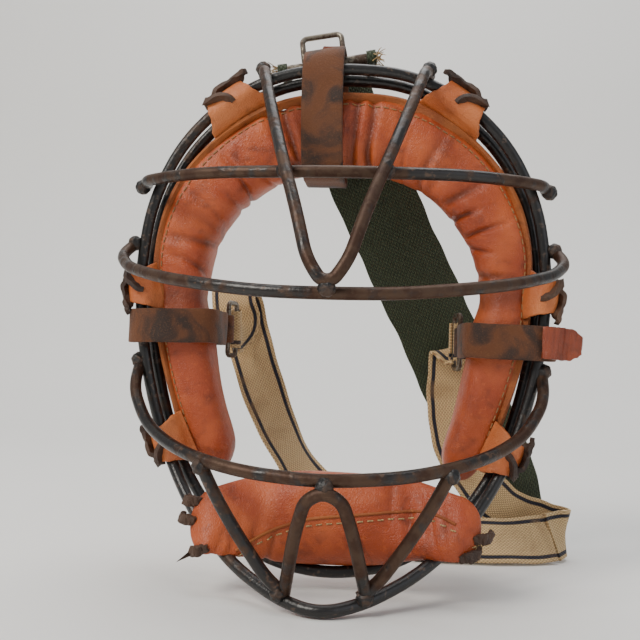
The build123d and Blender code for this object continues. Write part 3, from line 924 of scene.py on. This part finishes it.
@dataclass
class MainPad:
    """The stuffed horseshoe, with its raw welt and the stitches beside it."""

    back: float = 0.0
    half: tuple[tuple[float, float, float, float, float], ...] = (
        (0, 88, 0, 127, 33), (20.5, 87.6, 34, 121.5, 33), (38.9, 79.7, 62, 104.6, 33), (54.4, 65.7, 82, 79.8, 33),
        (64.2, 48.2, 91.4, 52.5, 33), (66.5, 27, 91.8, 29, 33), (63.5, 8, 89.6, 7, 33), (60, -11, 84.8, -14, 32),
        (56, -30, 78.6, -33, 31), (51.5, -46, 73.4, -49, 28), (50, -60, 69, -62, 22),
    )

    def sections(self) -> list[tuple[float, ...]]:
        """Middle, outward direction, half width and half thickness from the left foot to the right."""
        left = [(-a, b, -c, d, t) for a, b, c, d, t in reversed(self.half[1:])]
        rows = []
        for a, b, c, d, thick in left + list(self.half):
            wide = math.hypot(c - a, d - b)
            rows.append(
                ((a + c) / 2, self.back - 16.5, (b + d) / 2, (c - a) / wide, 0.0, (d - b) / wide, wide / 2, thick / 2)
            )
        return rows

    def puckers(self) -> list[Pucker]:
        """Gathers round the inner curve, folds beside the top strap and the waists under the straps."""
        chance = np.random.default_rng(11)
        made = []
        for first, last, count in ((0.24, 0.455, 10), (0.505, 0.76, 11)):
            for place in np.linspace(first, last, count) + chance.normal(0, 0.004, count):
                made.append(Pucker(
                    float(place), float(chance.uniform(1.3, 3.2)), float(chance.uniform(1.0, 2.6)),
                    math.pi - float(chance.uniform(0.35, 1.25)), float(chance.uniform(0.7, 1.3)),
                    float(chance.uniform(-6.0, 6.0)),
                ))
        for place in (0.425, 0.44, 0.512, 0.53, 0.56):
            made.append(Pucker(place, 2.2, 2.2, math.pi / 2, 1.6, float(chance.uniform(-2, 2))))
        for place, wide, deep in ((0.475, 9.0, 2.4), (0.205, 8.5, 2.2), (0.79, 8.5, 2.2)):
            made.append(Pucker(place, wide, deep, math.pi / 2, 2.6, 0.0))
        return made

    def build(self, finishes: Finishes) -> None:
        """Builds the pad, its welt and its stitches."""
        form = StuffedForm("main_pad", self.sections(), 560, 112, 0.035, 0.78, 0.62, self.puckers())
        pad = dress(
            form.build(
            ), finishes.pad, Slot.PAD, "root", "main_pad_front_cover", "main_pad_back_cover", "main_pad_filling"
        )
        outside = []
        for x, _, z, out_x, _, out_z, wide, _ in self.sections()[1:-1]:
            outside.append(
                (x + out_x * (wide - 1.8), -29.4, z + out_z * (wide - 1.8), out_x * 0.75, -0.66, out_z * 0.75)
            )
        welt = Band("main_pad_welt_edge", outside, 4.4, 2.1, rows=420, columns=5, ripple=0.75, fray=0.9, seed=5).build()
        dress(welt, finishes.welt, Slot.WELT, "root", "main_pad_welt")
        row = smooth_track([(x - a * 3.2, -60.0, z - c * 6.0, a, 0.0, c) for x, _, z, a, _, c in outside])[:, :3]
        sewn = sew("main_pad_stitches", surface_of(pad), row, 3.9, Vector((0, 1, 0)))
        dress(sewn, finishes.pad_thread, None, "root")


@dataclass
class ChinPad:
    """The boat-shaped chin cushion, its seam and its laced ears."""

    shift: float = 2.5
    height: float = -75.0

    def build(self, finishes: Finishes) -> None:
        """Builds the cushion, the seam, the stitches and the ears."""
        half = [
            (0, -48.5, -77, 22.0, 14, 0.0, 1.0), (19, -49, -76.5, 21.5, 13.5, 0.1, 0.99),
            (33, -53.5, -76, 20.0, 9.5, 0.34, 0.94),
            (44, -62, -76, 18.0, 4.6, 0.42, 0.91), (54, -66, -77, 16.0, 3.4, 0.42, 0.91),
            (63, -63, -77.5, 13, 2.6, 0.4, 0.92),
        ]
        rows = [(self.shift - x * 1.02, y, z, 0.0, a, b, h, t) for x, y, z, h, t, a, b in reversed(half[1:])]
        rows += [
            (self.shift + x * 1.03, y, z + 0.04 * x, 0.0, a, b, h * (1 - 0.0015 * x), t)
            for x, y, z, h, t, a, b in half
        ]
        chance = np.random.default_rng(4)
        gathers = [
            Pucker(
                float(p), float(chance.uniform(1.4, 2.6)), float(chance.uniform(0.6, 1.6)),
                float(chance.uniform(0.4, 2.7)), 0.8, float(chance.uniform(-3, 3)),
            )
            for p in (0.1, 0.15, 0.21, 0.28, 0.7, 0.77, 0.84, 0.9)
        ]
        form = StuffedForm("chin_pad", rows, 300, 112, 0.07, 0.86, 1.0, gathers, seed=9)
        pad = dress(
            form.build(), finishes.pad, Slot.PAD, "root",
            "chin_pad_upper_panel", "chin_pad_lower_panel", "chin_pad_filling", "left_chin_ear", "right_chin_ear",
        )
        surface = surface_of(pad)
        arch = [
            (-40, 0, -89, 0, 0, 1), (-28, 0, -82, 0, 0, 1), (-10, 0, -75.5, 0, 0, 1), (8, 0, -73, 0, 0, 1),
            (30, 0, -70.5, 0, 0, 1), (46, 0, -70, 0, 0, 1), (58, 0, -74, 0, 0, 1),
        ]
        track = smooth_track(arch)[::4]
        seam = []
        for x, _, z in track[:, :3]:
            place, _, _, _ = surface.ray_cast(Vector((x, -200, z)) * MM, Vector((0, 1, 0)), 0.4)
            if place is not None:
                seam.append((x, place.y / MM - 0.1, z))
        dress(tube_along("chin_pad_seam", [seam], 0.75, 1.0), finishes.welt, Slot.WELT, "root")
        row = np.array([(x, -150.0, z - 3.0) for x, _, z in seam])
        dress(sew("chin_pad_stitches", surface, row, 4.6, Vector((0, 1, 0))), finishes.thread, None, "root")
        self.ties(surface, finishes)

    def ties(self, surface: BVHTree, finishes: Finishes) -> None:
        """Builds the laces and the thread that hold the ends to the rings, and their curled corners.

        Args:
            surface: the cushion's surface.
            finishes: the finishes.
        """
        knots = []
        for order, (x, z, lean) in enumerate(
            ((-61.5, -69, 0.3), (-62.5, -77, -0.2), (-55.5, -88.5, 0.9), (67.5, -79, -0.4), (62, -86, -0.9))
        ):
            place, _, _, _ = surface.ray_cast(Vector((x * 0.97, -200, z)) * MM, Vector((0, 1, 0)), 0.4)
            front = place.y / MM if place is not None else -62.0
            side = 1 if x > 0 else -1
            run = [
                (x - side * 4, front - 0.6, z + 1.5 * lean, 0, -0.2, 1), (x, front - 1.6, z, 0.2, -0.3, 1),
                (x + side * 3.4, front + 0.4, z - lean, 0.4, 0.5, 0.9),
                (x + side * 4.0, front + 5.5, z - 2 * lean, 0.2, 0.1, 1),
            ]
            knots.append(
                Band(
                    f"chin_knot_{order}", run, 4.6, 1.7, rows=30, columns=5, ripple=0.35, widths=(0.6, 1.1, 0.9, 1.0),
                    fray=0.6, seed=90 + order,
                ).build()
            )
        dress(join("chin_pad_laces", knots), finishes.lace, Slot.LACE, "root")
        loose = [
            [(58, -69.5, -80), (62, -70.5, -83), (66, -68, -82), (71, -66, -78.5)],
            [(60, -69, -84), (64, -70, -85.5), (69, -67, -81)],
        ]
        dress(tube_along("chin_pad_thread", loose, 0.45, 0.7), finishes.thread, None, "root")


@dataclass
class Tab:
    """A leather tab round both rings, with its button and its thong."""

    name: str
    place: tuple[float, float, float]
    out: tuple[float, float]
    width: float

    def at(self, out: float, back: float, aside: float = 0.0) -> Vector:
        """A place in the tab's own frame: outwards, back and along the ring."""
        x, z = np.array(self.out) / math.hypot(*self.out)
        return Vector(
            (
                self.place[0] + x * (out - 1.5) - z * aside, self.place[1] + back,
                self.place[2] + z * (out - 1.5) + x * aside,
            )
        )

    def build(self, finishes: Finishes) -> None:
        """Wraps the tab round the rings."""
        x, z = np.array(self.out) / math.hypot(*self.out)
        profile = [
            (-10.5, -1.0), (-7.4, -4.8), (-4.8, -8.4), (-1.8, -10.5), (1.2, -10.7), (4.6, -8.6), (6.5, -4.5),
            (6.5, 4.2), (4.6, 8.3), (1.0, 10.6),
            (-4, 11.0), (-8, 10.6),
        ]
        run = [(*self.at(out, back), -z, 0.0, x) for out, back in profile]
        sides = (1.4, 1.28, 1.02, 0.84, 0.78, 0.76, 0.78, 0.85, 0.95)
        piece = Band(
            self.name + "_leather", run, self.width, 1.9, rows=64, columns=12, ripple=0.25, widths=sides,
            seed=len(self.name),
        ).build()
        dress(piece, finishes.tab, Slot.TAB, "root", self.name)

    def button(self) -> Matrix:
        """Where the button sits, on the outside of the tab."""
        x, z = np.array(self.out) / math.hypot(*self.out)
        return facing(self.at(7.4, 0.0), Vector((-z, 0, x)), Vector((x, 0, z)))

    def thong(self, side: int) -> Piece:
        """The flat thong tied along the tab's outer edge, with a loose curled end.

        Args:
            side: which way along the ring the loose end hangs.

        Returns:
            The thong.
        """
        x, z = np.array(self.out) / math.hypot(*self.out)
        half = self.width * 0.42
        run = []
        for step, (out, back, aside) in enumerate((
            (-1.6, -10.6, 1.2), (1.4, -12.0, -0.4), (4.6, -10.6, -half * 0.5), (6.0, -8.8, -half * 0.9),
            (7.6, -6.8, -half * 0.6), (8.4, -6.0, 0.0), (7.8, -6.6, half * 0.6), (7.0, -8.8, half),
            (7.6, -9.4, half + 2.5), (7.0, -10.4, half + 4.5),
        )):
            twist = 0.5 * math.sin(step * 1.3)
            run.append((*self.at(out, back, aside * side), x * (0.35 + twist), -0.9, z * (0.35 + twist)))
        return Band(
            self.name + "_thong", run, 5.4, 2.2, rows=56, columns=6, ripple=0.3,
            widths=(0.7, 0.9, 1.1, 0.9, 1.15, 0.8, 1.0, 0.7), fray=0.5, seed=len(self.name) + 3,
        ).build()


@dataclass
class Tabs:
    """The six tabs."""

    half: tuple[tuple[str, tuple[float, float, float], tuple[float, float], float], ...] = (
        ("upper", (57, -25.5, 122), (17, 22), 25), ("side", (98.5, -25.5, 29), (10, -1), 18),
        ("lower", (82, -30.2, -47), (9, -4), 18),
    )

    def build(self, finishes: Finishes) -> None:
        """Builds the tabs, buttons and thongs."""
        tabs = [
            Tab(f"{word}_{name}_tab", (side * x, y, z), (side * a, b), width)
            for side, word in ((-1, "left"), (1, "right"))
            for name, (x, y, z), (a, b), width in self.half
        ]
        for tab in tabs:
            tab.build(finishes)
        deselect()
        bpy.ops.mesh.primitive_uv_sphere_add(segments=28, ring_count=14, radius=0.0044)
        model = bpy.context.object
        bpy.ops.transform.resize(value=(1.0, 0.78, 0.42))
        bpy.ops.object.transform_apply(location=True, rotation=True, scale=True)
        bpy.ops.object.mode_set(mode="EDIT")
        bpy.ops.mesh.select_all(action="SELECT")
        bpy.ops.mesh.bisect(plane_co=(0, 0, -0.0006), plane_no=(0, 0, 1), clear_inner=True, use_fill=True)
        bpy.ops.object.mode_set(mode="OBJECT")
        smooth_shade(model, 50)
        studs = copies("tab_buttons", model, [tab.button() for tab in tabs])
        dress(studs, finishes.lace, Slot.LACE, "root", "tab_studs")
        thongs = [tab.thong(1 if place % 2 else -1) for place, tab in enumerate(tabs)]
        dress(join("tab_laces", thongs), finishes.lace, Slot.LACE, "root", "tab_thongs")


@dataclass
class Harness:
    """The suede straps, the crown roller and buckle, the wire loops and the webbing."""

    strap_thick: float = 2.2
    levels: tuple[tuple[int, str, float], ...] = ((-1, "left", 10.5), (1, "right", 7.0))

    def side_strap(self, side: int, word: str, level: float) -> Piece:
        """A strap closed round the pad and both rings."""
        inner, outer = (59.0 if side < 0 else 58.5) + 1.1, 104.2 - 1.1
        front, back = -38.6 + 1.1, 3.2 - 1.1
        run = []
        for turn in np.linspace(0, 2 * math.pi, 41):
            c, s = math.cos(turn), math.sin(turn)
            x = (inner + outer) / 2 + (outer - inner) / 2 * math.copysign(abs(c) ** 0.42, c)
            y = (front + back) / 2 + (back - front) / 2 * math.copysign(abs(s) ** 0.42, s)
            run.append((side * x, y, level + 0.5 * math.sin(2 * turn), 0.0, 0.0, 1.0))
        return Band(
            f"{word}_suede_strap", run, 16.5, self.strap_thick, rows=150, columns=8, closed=True, seed=20 + side,
        ).build()

    def build_sides(self, finishes: Finishes) -> None:
        """Builds both side straps with their folds and sewn webbing ends."""
        for side, word, level in self.levels:
            dress(self.side_strap(side, word, level), finishes.suede, Slot.SUEDE, "root", f"{word}_strap")
            bar = Vector((side * 61.0, 6.5, level))
            fold = [
                (bar.x + side * x, y, level, 0, 0, 1)
                for x, y in (
                    (17, 4.3), (9, 4.3), (2.6, 4.2), (-1.2, 4.6), (-2.3, 6.5), (-0.9, 8.5), (1.4, 8.3), (3.0, 6.2),
                )
            ]
            dress(
                Band(f"{word}_fold_leather", fold, 14.5, 1.6, rows=60, ripple=0.05).build(), finishes.suede,
                Slot.SUEDE, "root", f"{word}_loop_fold",
            )
            turn = math.radians(12)
            heading = Vector((-side * math.sin(turn), math.cos(turn), 0))
            end = bar + heading * 11
            across = heading.cross(Vector((0, 0, 1)))
            ring = []
            for angle in np.linspace(-0.5, 5.2, 16):
                spot = end - heading * (2.15 * math.cos(angle)) + across * (2.15 * math.sin(angle))
                ring.append((*spot, 0, 0, 1))
            sewn = Band(f"{word}_webbing_end", ring, 19.6, 1.4, rows=40, ripple=0.02).build()
            dress(sewn, finishes.elastic, Slot.ELASTIC, f"{word}_loop", f"{word}_elastic_fold")
            paint_node(f"{word}_wire_loop", finishes.steel)
        tongue = [
            (x, y, 7.0 + dz, 0, 0, 1)
            for x, y, dz in (
                (96, -39.4, 0.2), (101, -39.2, 0), (105.5, -36.2, -0.3), (110, -34.6, -0.6), (115, -34.0, -1),
            )
        ]
        leather = Band(
            "right_strap_end", tongue, 15.0, 2.0, rows=40, columns=12, widths=(1, 1, 1.02, 0.98, 0.55), seed=31,
        ).build()
        dress(leather, finishes.oxblood, Slot.OXBLOOD, "root", "right_strap_tongue")

    def build_crown(self, finishes: Finishes) -> None:
        """Builds the top strap, its fold and the strap end behind the buckle."""
        over = [
            (-36.5, 91), (-37.6, 100), (-37.4, 113), (-36.4, 127), (-35.4, 137), (-32.5, 144), (-27, 148.4),
            (-20, 149.5),
            (-10, 149.4), (-1, 148.2), (4.2, 144), (5.2, 136), (5.2, 120), (5.2, 104), (4.2, 94), (0.5, 87.4), (-8, 85),
            (-20, 84.9), (-31, 86), (-36.5, 91),
        ]
        run = [(-9.5 - 1.2 * math.sin((z - 85) / 30), y, z, 1.0, 0.0, 0.16 if z > 143 else 0.0) for y, z in over]
        strap = Band("top_suede_strap", run, 20.0, 2.2, rows=170, columns=8, closed=True, seed=41).build()
        dress(strap, finishes.suede, Slot.SUEDE, "root", "top_strap")
        fold = [
            (-13, y, z, 0.98, 0, 0.15)
            for y, z in (
                (7.3, 122), (7.3, 134), (7.6, 142), (8.0, 147.5), (9.8, 148.6), (12.0, 147), (12.1, 144.5),
                (9.6, 142.6), (8.9, 140),
            )
        ]
        dress(
            Band("crown_fold_leather", fold, 14, 1.5, rows=60, ripple=0.05).build(), finishes.suede, Slot.SUEDE,
            "root", "buckle_fold",
        )
        low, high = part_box("buckle_tongue")
        middle = (low + high) / 2 / MM
        tongue = [
            (middle.x + dx, middle.y + dy, middle.z + dz, 0.985, 0, 0.156)
            for dx, dy, dz in ((-0.3, -3.2, -8.5), (0, -1.6, -4), (0.2, 0.2, 0), (0.5, 2.0, 4), (0.8, 3.2, 8.2))
        ]
        end = Band(
            "crown_strap_end", tongue, 16, 2.0, rows=40, columns=10, widths=(1, 1, 1, 0.9, 0.66), cup=0.8, seed=43,
        ).build()
        dress(end, finishes.oxblood, Slot.OXBLOOD, "root", "buckle_tongue")
        for node in ("strap_roller", "roller_rod", "buckle_loop"):
            paint_node(node, finishes.steel)

    def build_webbing(self, finishes: Finishes) -> None:
        """Builds the elastic arms and the olive crown webbing with its frayed ends."""
        left = [
            (-58.2, 21.4, 10.5, 0, 0, 1), (-58.6, 27.5, 10.8, -0.1, 0, 1), (-60, 33, 15, -0.75, -0.1, 0.6),
            (-63.5, 35, 25, -1, 0, 0), (-64.5, 39, 33, -1, 0, 0), (-62, 43.5, 28, -1, 0, 0),
            (-57, 43, 10, -0.97, 0, -0.25),
            (-50, 37, -10, -0.93, -0.2, -0.3), (-41, 33, -32, -0.8, -0.5, -0.3), (-29, 31, -56, -0.55, -0.75, -0.35),
            (-9, 27, -80, -0.4, -0.5, -0.75), (24, 22, -94, -0.1, -0.5, -0.85), (58, 20, -97, 0, -0.6, -0.8),
            (88, 22, -97, 0, -0.6, -0.8), (104, 26, -96.5, 0.1, -0.5, -0.86), (113.6, 29.9, -95.9, 0.1, -0.46, -0.87),
        ]
        right = [
            (58.2, 20.6, 7, 0, 0, 1), (58, 24, 5, 0.4, 0.1, 0.9), (58, 26, -3, 0.9, 0.1, 0.3),
            (58, 26, -26, 0.97, 0.1, 0.15),
            (62, 27, -48, 0.85, 0.15, 0.5), (76, 34, -70, 0.6, 0.1, 0.75), (94, 43, -86, 0.3, 0, 0.95),
            (112, 45, -92, 0.05, 0, 1), (121, 38.5, -94, 0.1, 0.25, 0.95), (114, 30, -95.8, 0.1, 0.45, 0.87),
        ]
        for word, run, side, way in (("left", left, -1, TAPE_BLEND[0]), ("right", right, 1, TAPE_BLEND[1])):
            arm = Band(f"{word}_elastic_arm", run, 25, 1.5, rows=220, columns=10, ripple=0.5, seed=50 + side).build()
            dress(arm, finishes.elastic, Slot.ELASTIC, "", f"{word}_elastic")
            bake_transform(arm)
        crown = [
            (-10.5, 10.2, 139, 0.97, 0, 0.2), (-6.5, 9.6, 128, 0.93, 0, 0.35), (1, 9.4, 113, 0.91, 0, 0.42),
            (10, 10, 94, 0.91, 0, 0.42), (29, 20, 55, 0.91, 0, 0.42), (48, 33, 18, 0.91, 0, 0.42),
            (65, 39, -18, 0.91, 0, 0.42), (80, 48, -50, 0.93, 0, 0.36), (90, 60, -74, 0.97, 0, 0.25),
            (94, 64, -90, 1, 0, 0.1),
        ]
        olive = Band("crown_webbing", crown, 42, 1.7, rows=200, columns=14, ripple=0.5, fray=0.6, seed=60).build()
        dress(olive, finishes.crown, Slot.CROWN, "root", "crown_strap")
        tail = [(x, y, -108.2, 0, 1, 0) for x, y in ((92, 34), (64, 28), (40, 26))]
        folded = Band("crown_webbing_tail", tail, 20, 1.7, rows=60, ripple=0.1, fray=0.8, seed=61).build()
        dress(folded, finishes.crown, Slot.CROWN, "root", "crown_strap_tail")
        self.frayed_ends(finishes)

    def frayed_ends(self, finishes: Finishes) -> None:
        """The webbing's narrow ends, wound on the rod, with their loose threads."""
        tilt = math.radians(9)
        axis = Vector((math.cos(tilt), 0, math.sin(tilt)))
        middle = Vector((-10.0, -21.0, 143.4))
        up = Vector((-math.sin(tilt), 0, math.cos(tilt)))
        back = Vector((0, 1, 0))
        chance = np.random.default_rng(70)
        bands, threads = [], []
        for end in (-1, 1):
            centre = middle + axis * (end * 22.4)
            run = []
            for turn in np.linspace(0, 4.4, 14):
                radius = 2.6 + turn * 0.16
                spot = centre + back * (-radius * math.sin(turn)) + up * (-radius * math.cos(turn))
                run.append((*spot, *(axis * -1)))
            for step, drop in ((6, 3.6), (14, 3.0), (24, 1.8), (29, 0.8)):
                run.append((*(centre + back * step + up * drop), *(axis * -1)))
            bands.append(
                Band(f"wound_webbing_{end + 2}", run, 4.6, 1.4, rows=70, columns=5, ripple=0.15, seed=71 + end).build()
            )
            for _ in range(26):
                start = centre + axis * (
                    end * 2.0 + float(chance.uniform(-2, 2))
                ) + up * float(chance.uniform(-3, 3)) + back * float(chance.uniform(-3, 3))
                way = axis * (
                    end * float(chance.uniform(1.5, 4.5))
                ) + up * float(chance.normal(0, 2.4)) + back * float(chance.normal(0, 2.2))
                threads.append([tuple(start), tuple(start + way * 0.6 + up * 0.6), tuple(start + way)])
        dress(join("wound_webbing_ends", bands), finishes.crown, Slot.CROWN, "root", "crown_strap_ears")
        dress(tube_along("frayed_threads", threads, 0.3, 0.4), finishes.thread, None, "root")


@dataclass
class Studio:
    """A pale sweep, soft lights and the camera."""

    lens: float = 50.6
    eye: tuple[float, float, float] = (0.029, -0.465, 0.0)
    yaw: float = 5.0
    pitch: float = 2.0
    roll: float = 1.7

    def build(self) -> None:
        """Builds the sweep, the lights and the camera."""
        floor_level = CAD_BOX[0].z
        deselect()
        bpy.ops.mesh.primitive_plane_add(size=6.0, location=(0, -1.9, floor_level))
        sweep = bpy.context.object
        sweep.name = "sweep"
        bpy.ops.object.transform_apply(location=True, rotation=True, scale=True)
        for edge in sweep.data.edges:
            edge.select = all(sweep.data.vertices[v].co.y > 1.0 for v in edge.vertices)
        for face in sweep.data.polygons:
            face.select = False
        for vertex in sweep.data.vertices:
            vertex.select = vertex.co.y > 1.0
        bpy.ops.object.mode_set(mode="EDIT")
        bpy.ops.mesh.select_mode(type="EDGE")
        bpy.ops.mesh.extrude_region_move(TRANSFORM_OT_translate={"value": (0, 0, 3.0)})
        bpy.ops.object.mode_set(mode="OBJECT")
        apply_modifier(sweep, "BEVEL", width=0.5, segments=16, limit_method="ANGLE")
        smooth_shade(sweep, 60)
        _, wiring, shader, place = start_material("pale_paper")
        wiring.feed(
            shader.inputs["Base Color"],
            wiring.blend(wiring.noise(place, 3.0, 3), tint(228, 227, 224), tint(236, 235, 232)),
        )
        shader.inputs["Roughness"].default_value = 0.75
        sweep.data.materials.append(bpy.data.materials["pale_paper"])
        self.light("key", (-1.0, -1.1, 1.2), 0.8, 30.0, tint(255, 249, 240))
        self.light("fill", (1.2, -1.0, 0.6), 1.3, 5.0, tint(244, 248, 255))
        self.light("top", (0.1, 0.35, 1.5), 1.2, 16.0, tint(255, 255, 255))
        world = bpy.data.worlds.new("studio")
        world.use_nodes = True
        world.node_tree.nodes["Background"].inputs["Color"].default_value = tint(226, 230, 236)
        world.node_tree.nodes["Background"].inputs["Strength"].default_value = 0.5
        bpy.context.scene.world = world
        self.camera()

    @staticmethod
    def light(name: str, place: tuple[float, float, float], size: float, power: float, colour: Colour) -> None:
        """A square soft light that points at the object."""
        bpy.ops.object.light_add(type="AREA", location=place)
        lamp = bpy.context.object
        lamp.name = name
        lamp.data.size = size
        lamp.data.energy = power
        lamp.data.color = colour[:3]
        lamp.rotation_euler = (Vector((0, -0.03, 0.02)) - Vector(place)).to_track_quat("-Z", "Y").to_euler()

    def camera(self) -> None:
        """The camera, a little to the right, tipped up and rolled."""
        yaw, pitch, roll = (math.radians(a) for a in (self.yaw, self.pitch, self.roll))
        ahead = Vector((-math.sin(yaw) * math.cos(pitch), math.cos(yaw) * math.cos(pitch), math.sin(pitch)))
        right = Vector((math.cos(yaw), math.sin(yaw), 0))
        up = right.cross(ahead)
        across = right * math.cos(roll) + up * math.sin(roll)
        above = up * math.cos(roll) - right * math.sin(roll)
        bpy.ops.object.camera_add(location=self.eye)
        camera = bpy.context.object
        camera.matrix_world = Matrix.Translation(self.eye) @ Matrix((across, above, -ahead)).transposed().to_4x4()
        camera.data.lens = self.lens
        camera.data.sensor_width = 36.0
        bpy.context.scene.camera = camera


def main() -> None:
    """Builds and dresses the mask, then sets the studio round it."""
    logging.basicConfig(level=logging.INFO, format="%(name)s: %(message)s")
    finishes = Finishes()
    Cage().dress(finishes)
    MainPad().build(finishes)
    ChinPad().build(finishes)
    Tabs().build(finishes)
    harness = Harness()
    harness.build_sides(finishes)
    harness.build_crown(finishes)
    harness.build_webbing(finishes)
    Studio().build()


if __name__ == "__main__":
    main()
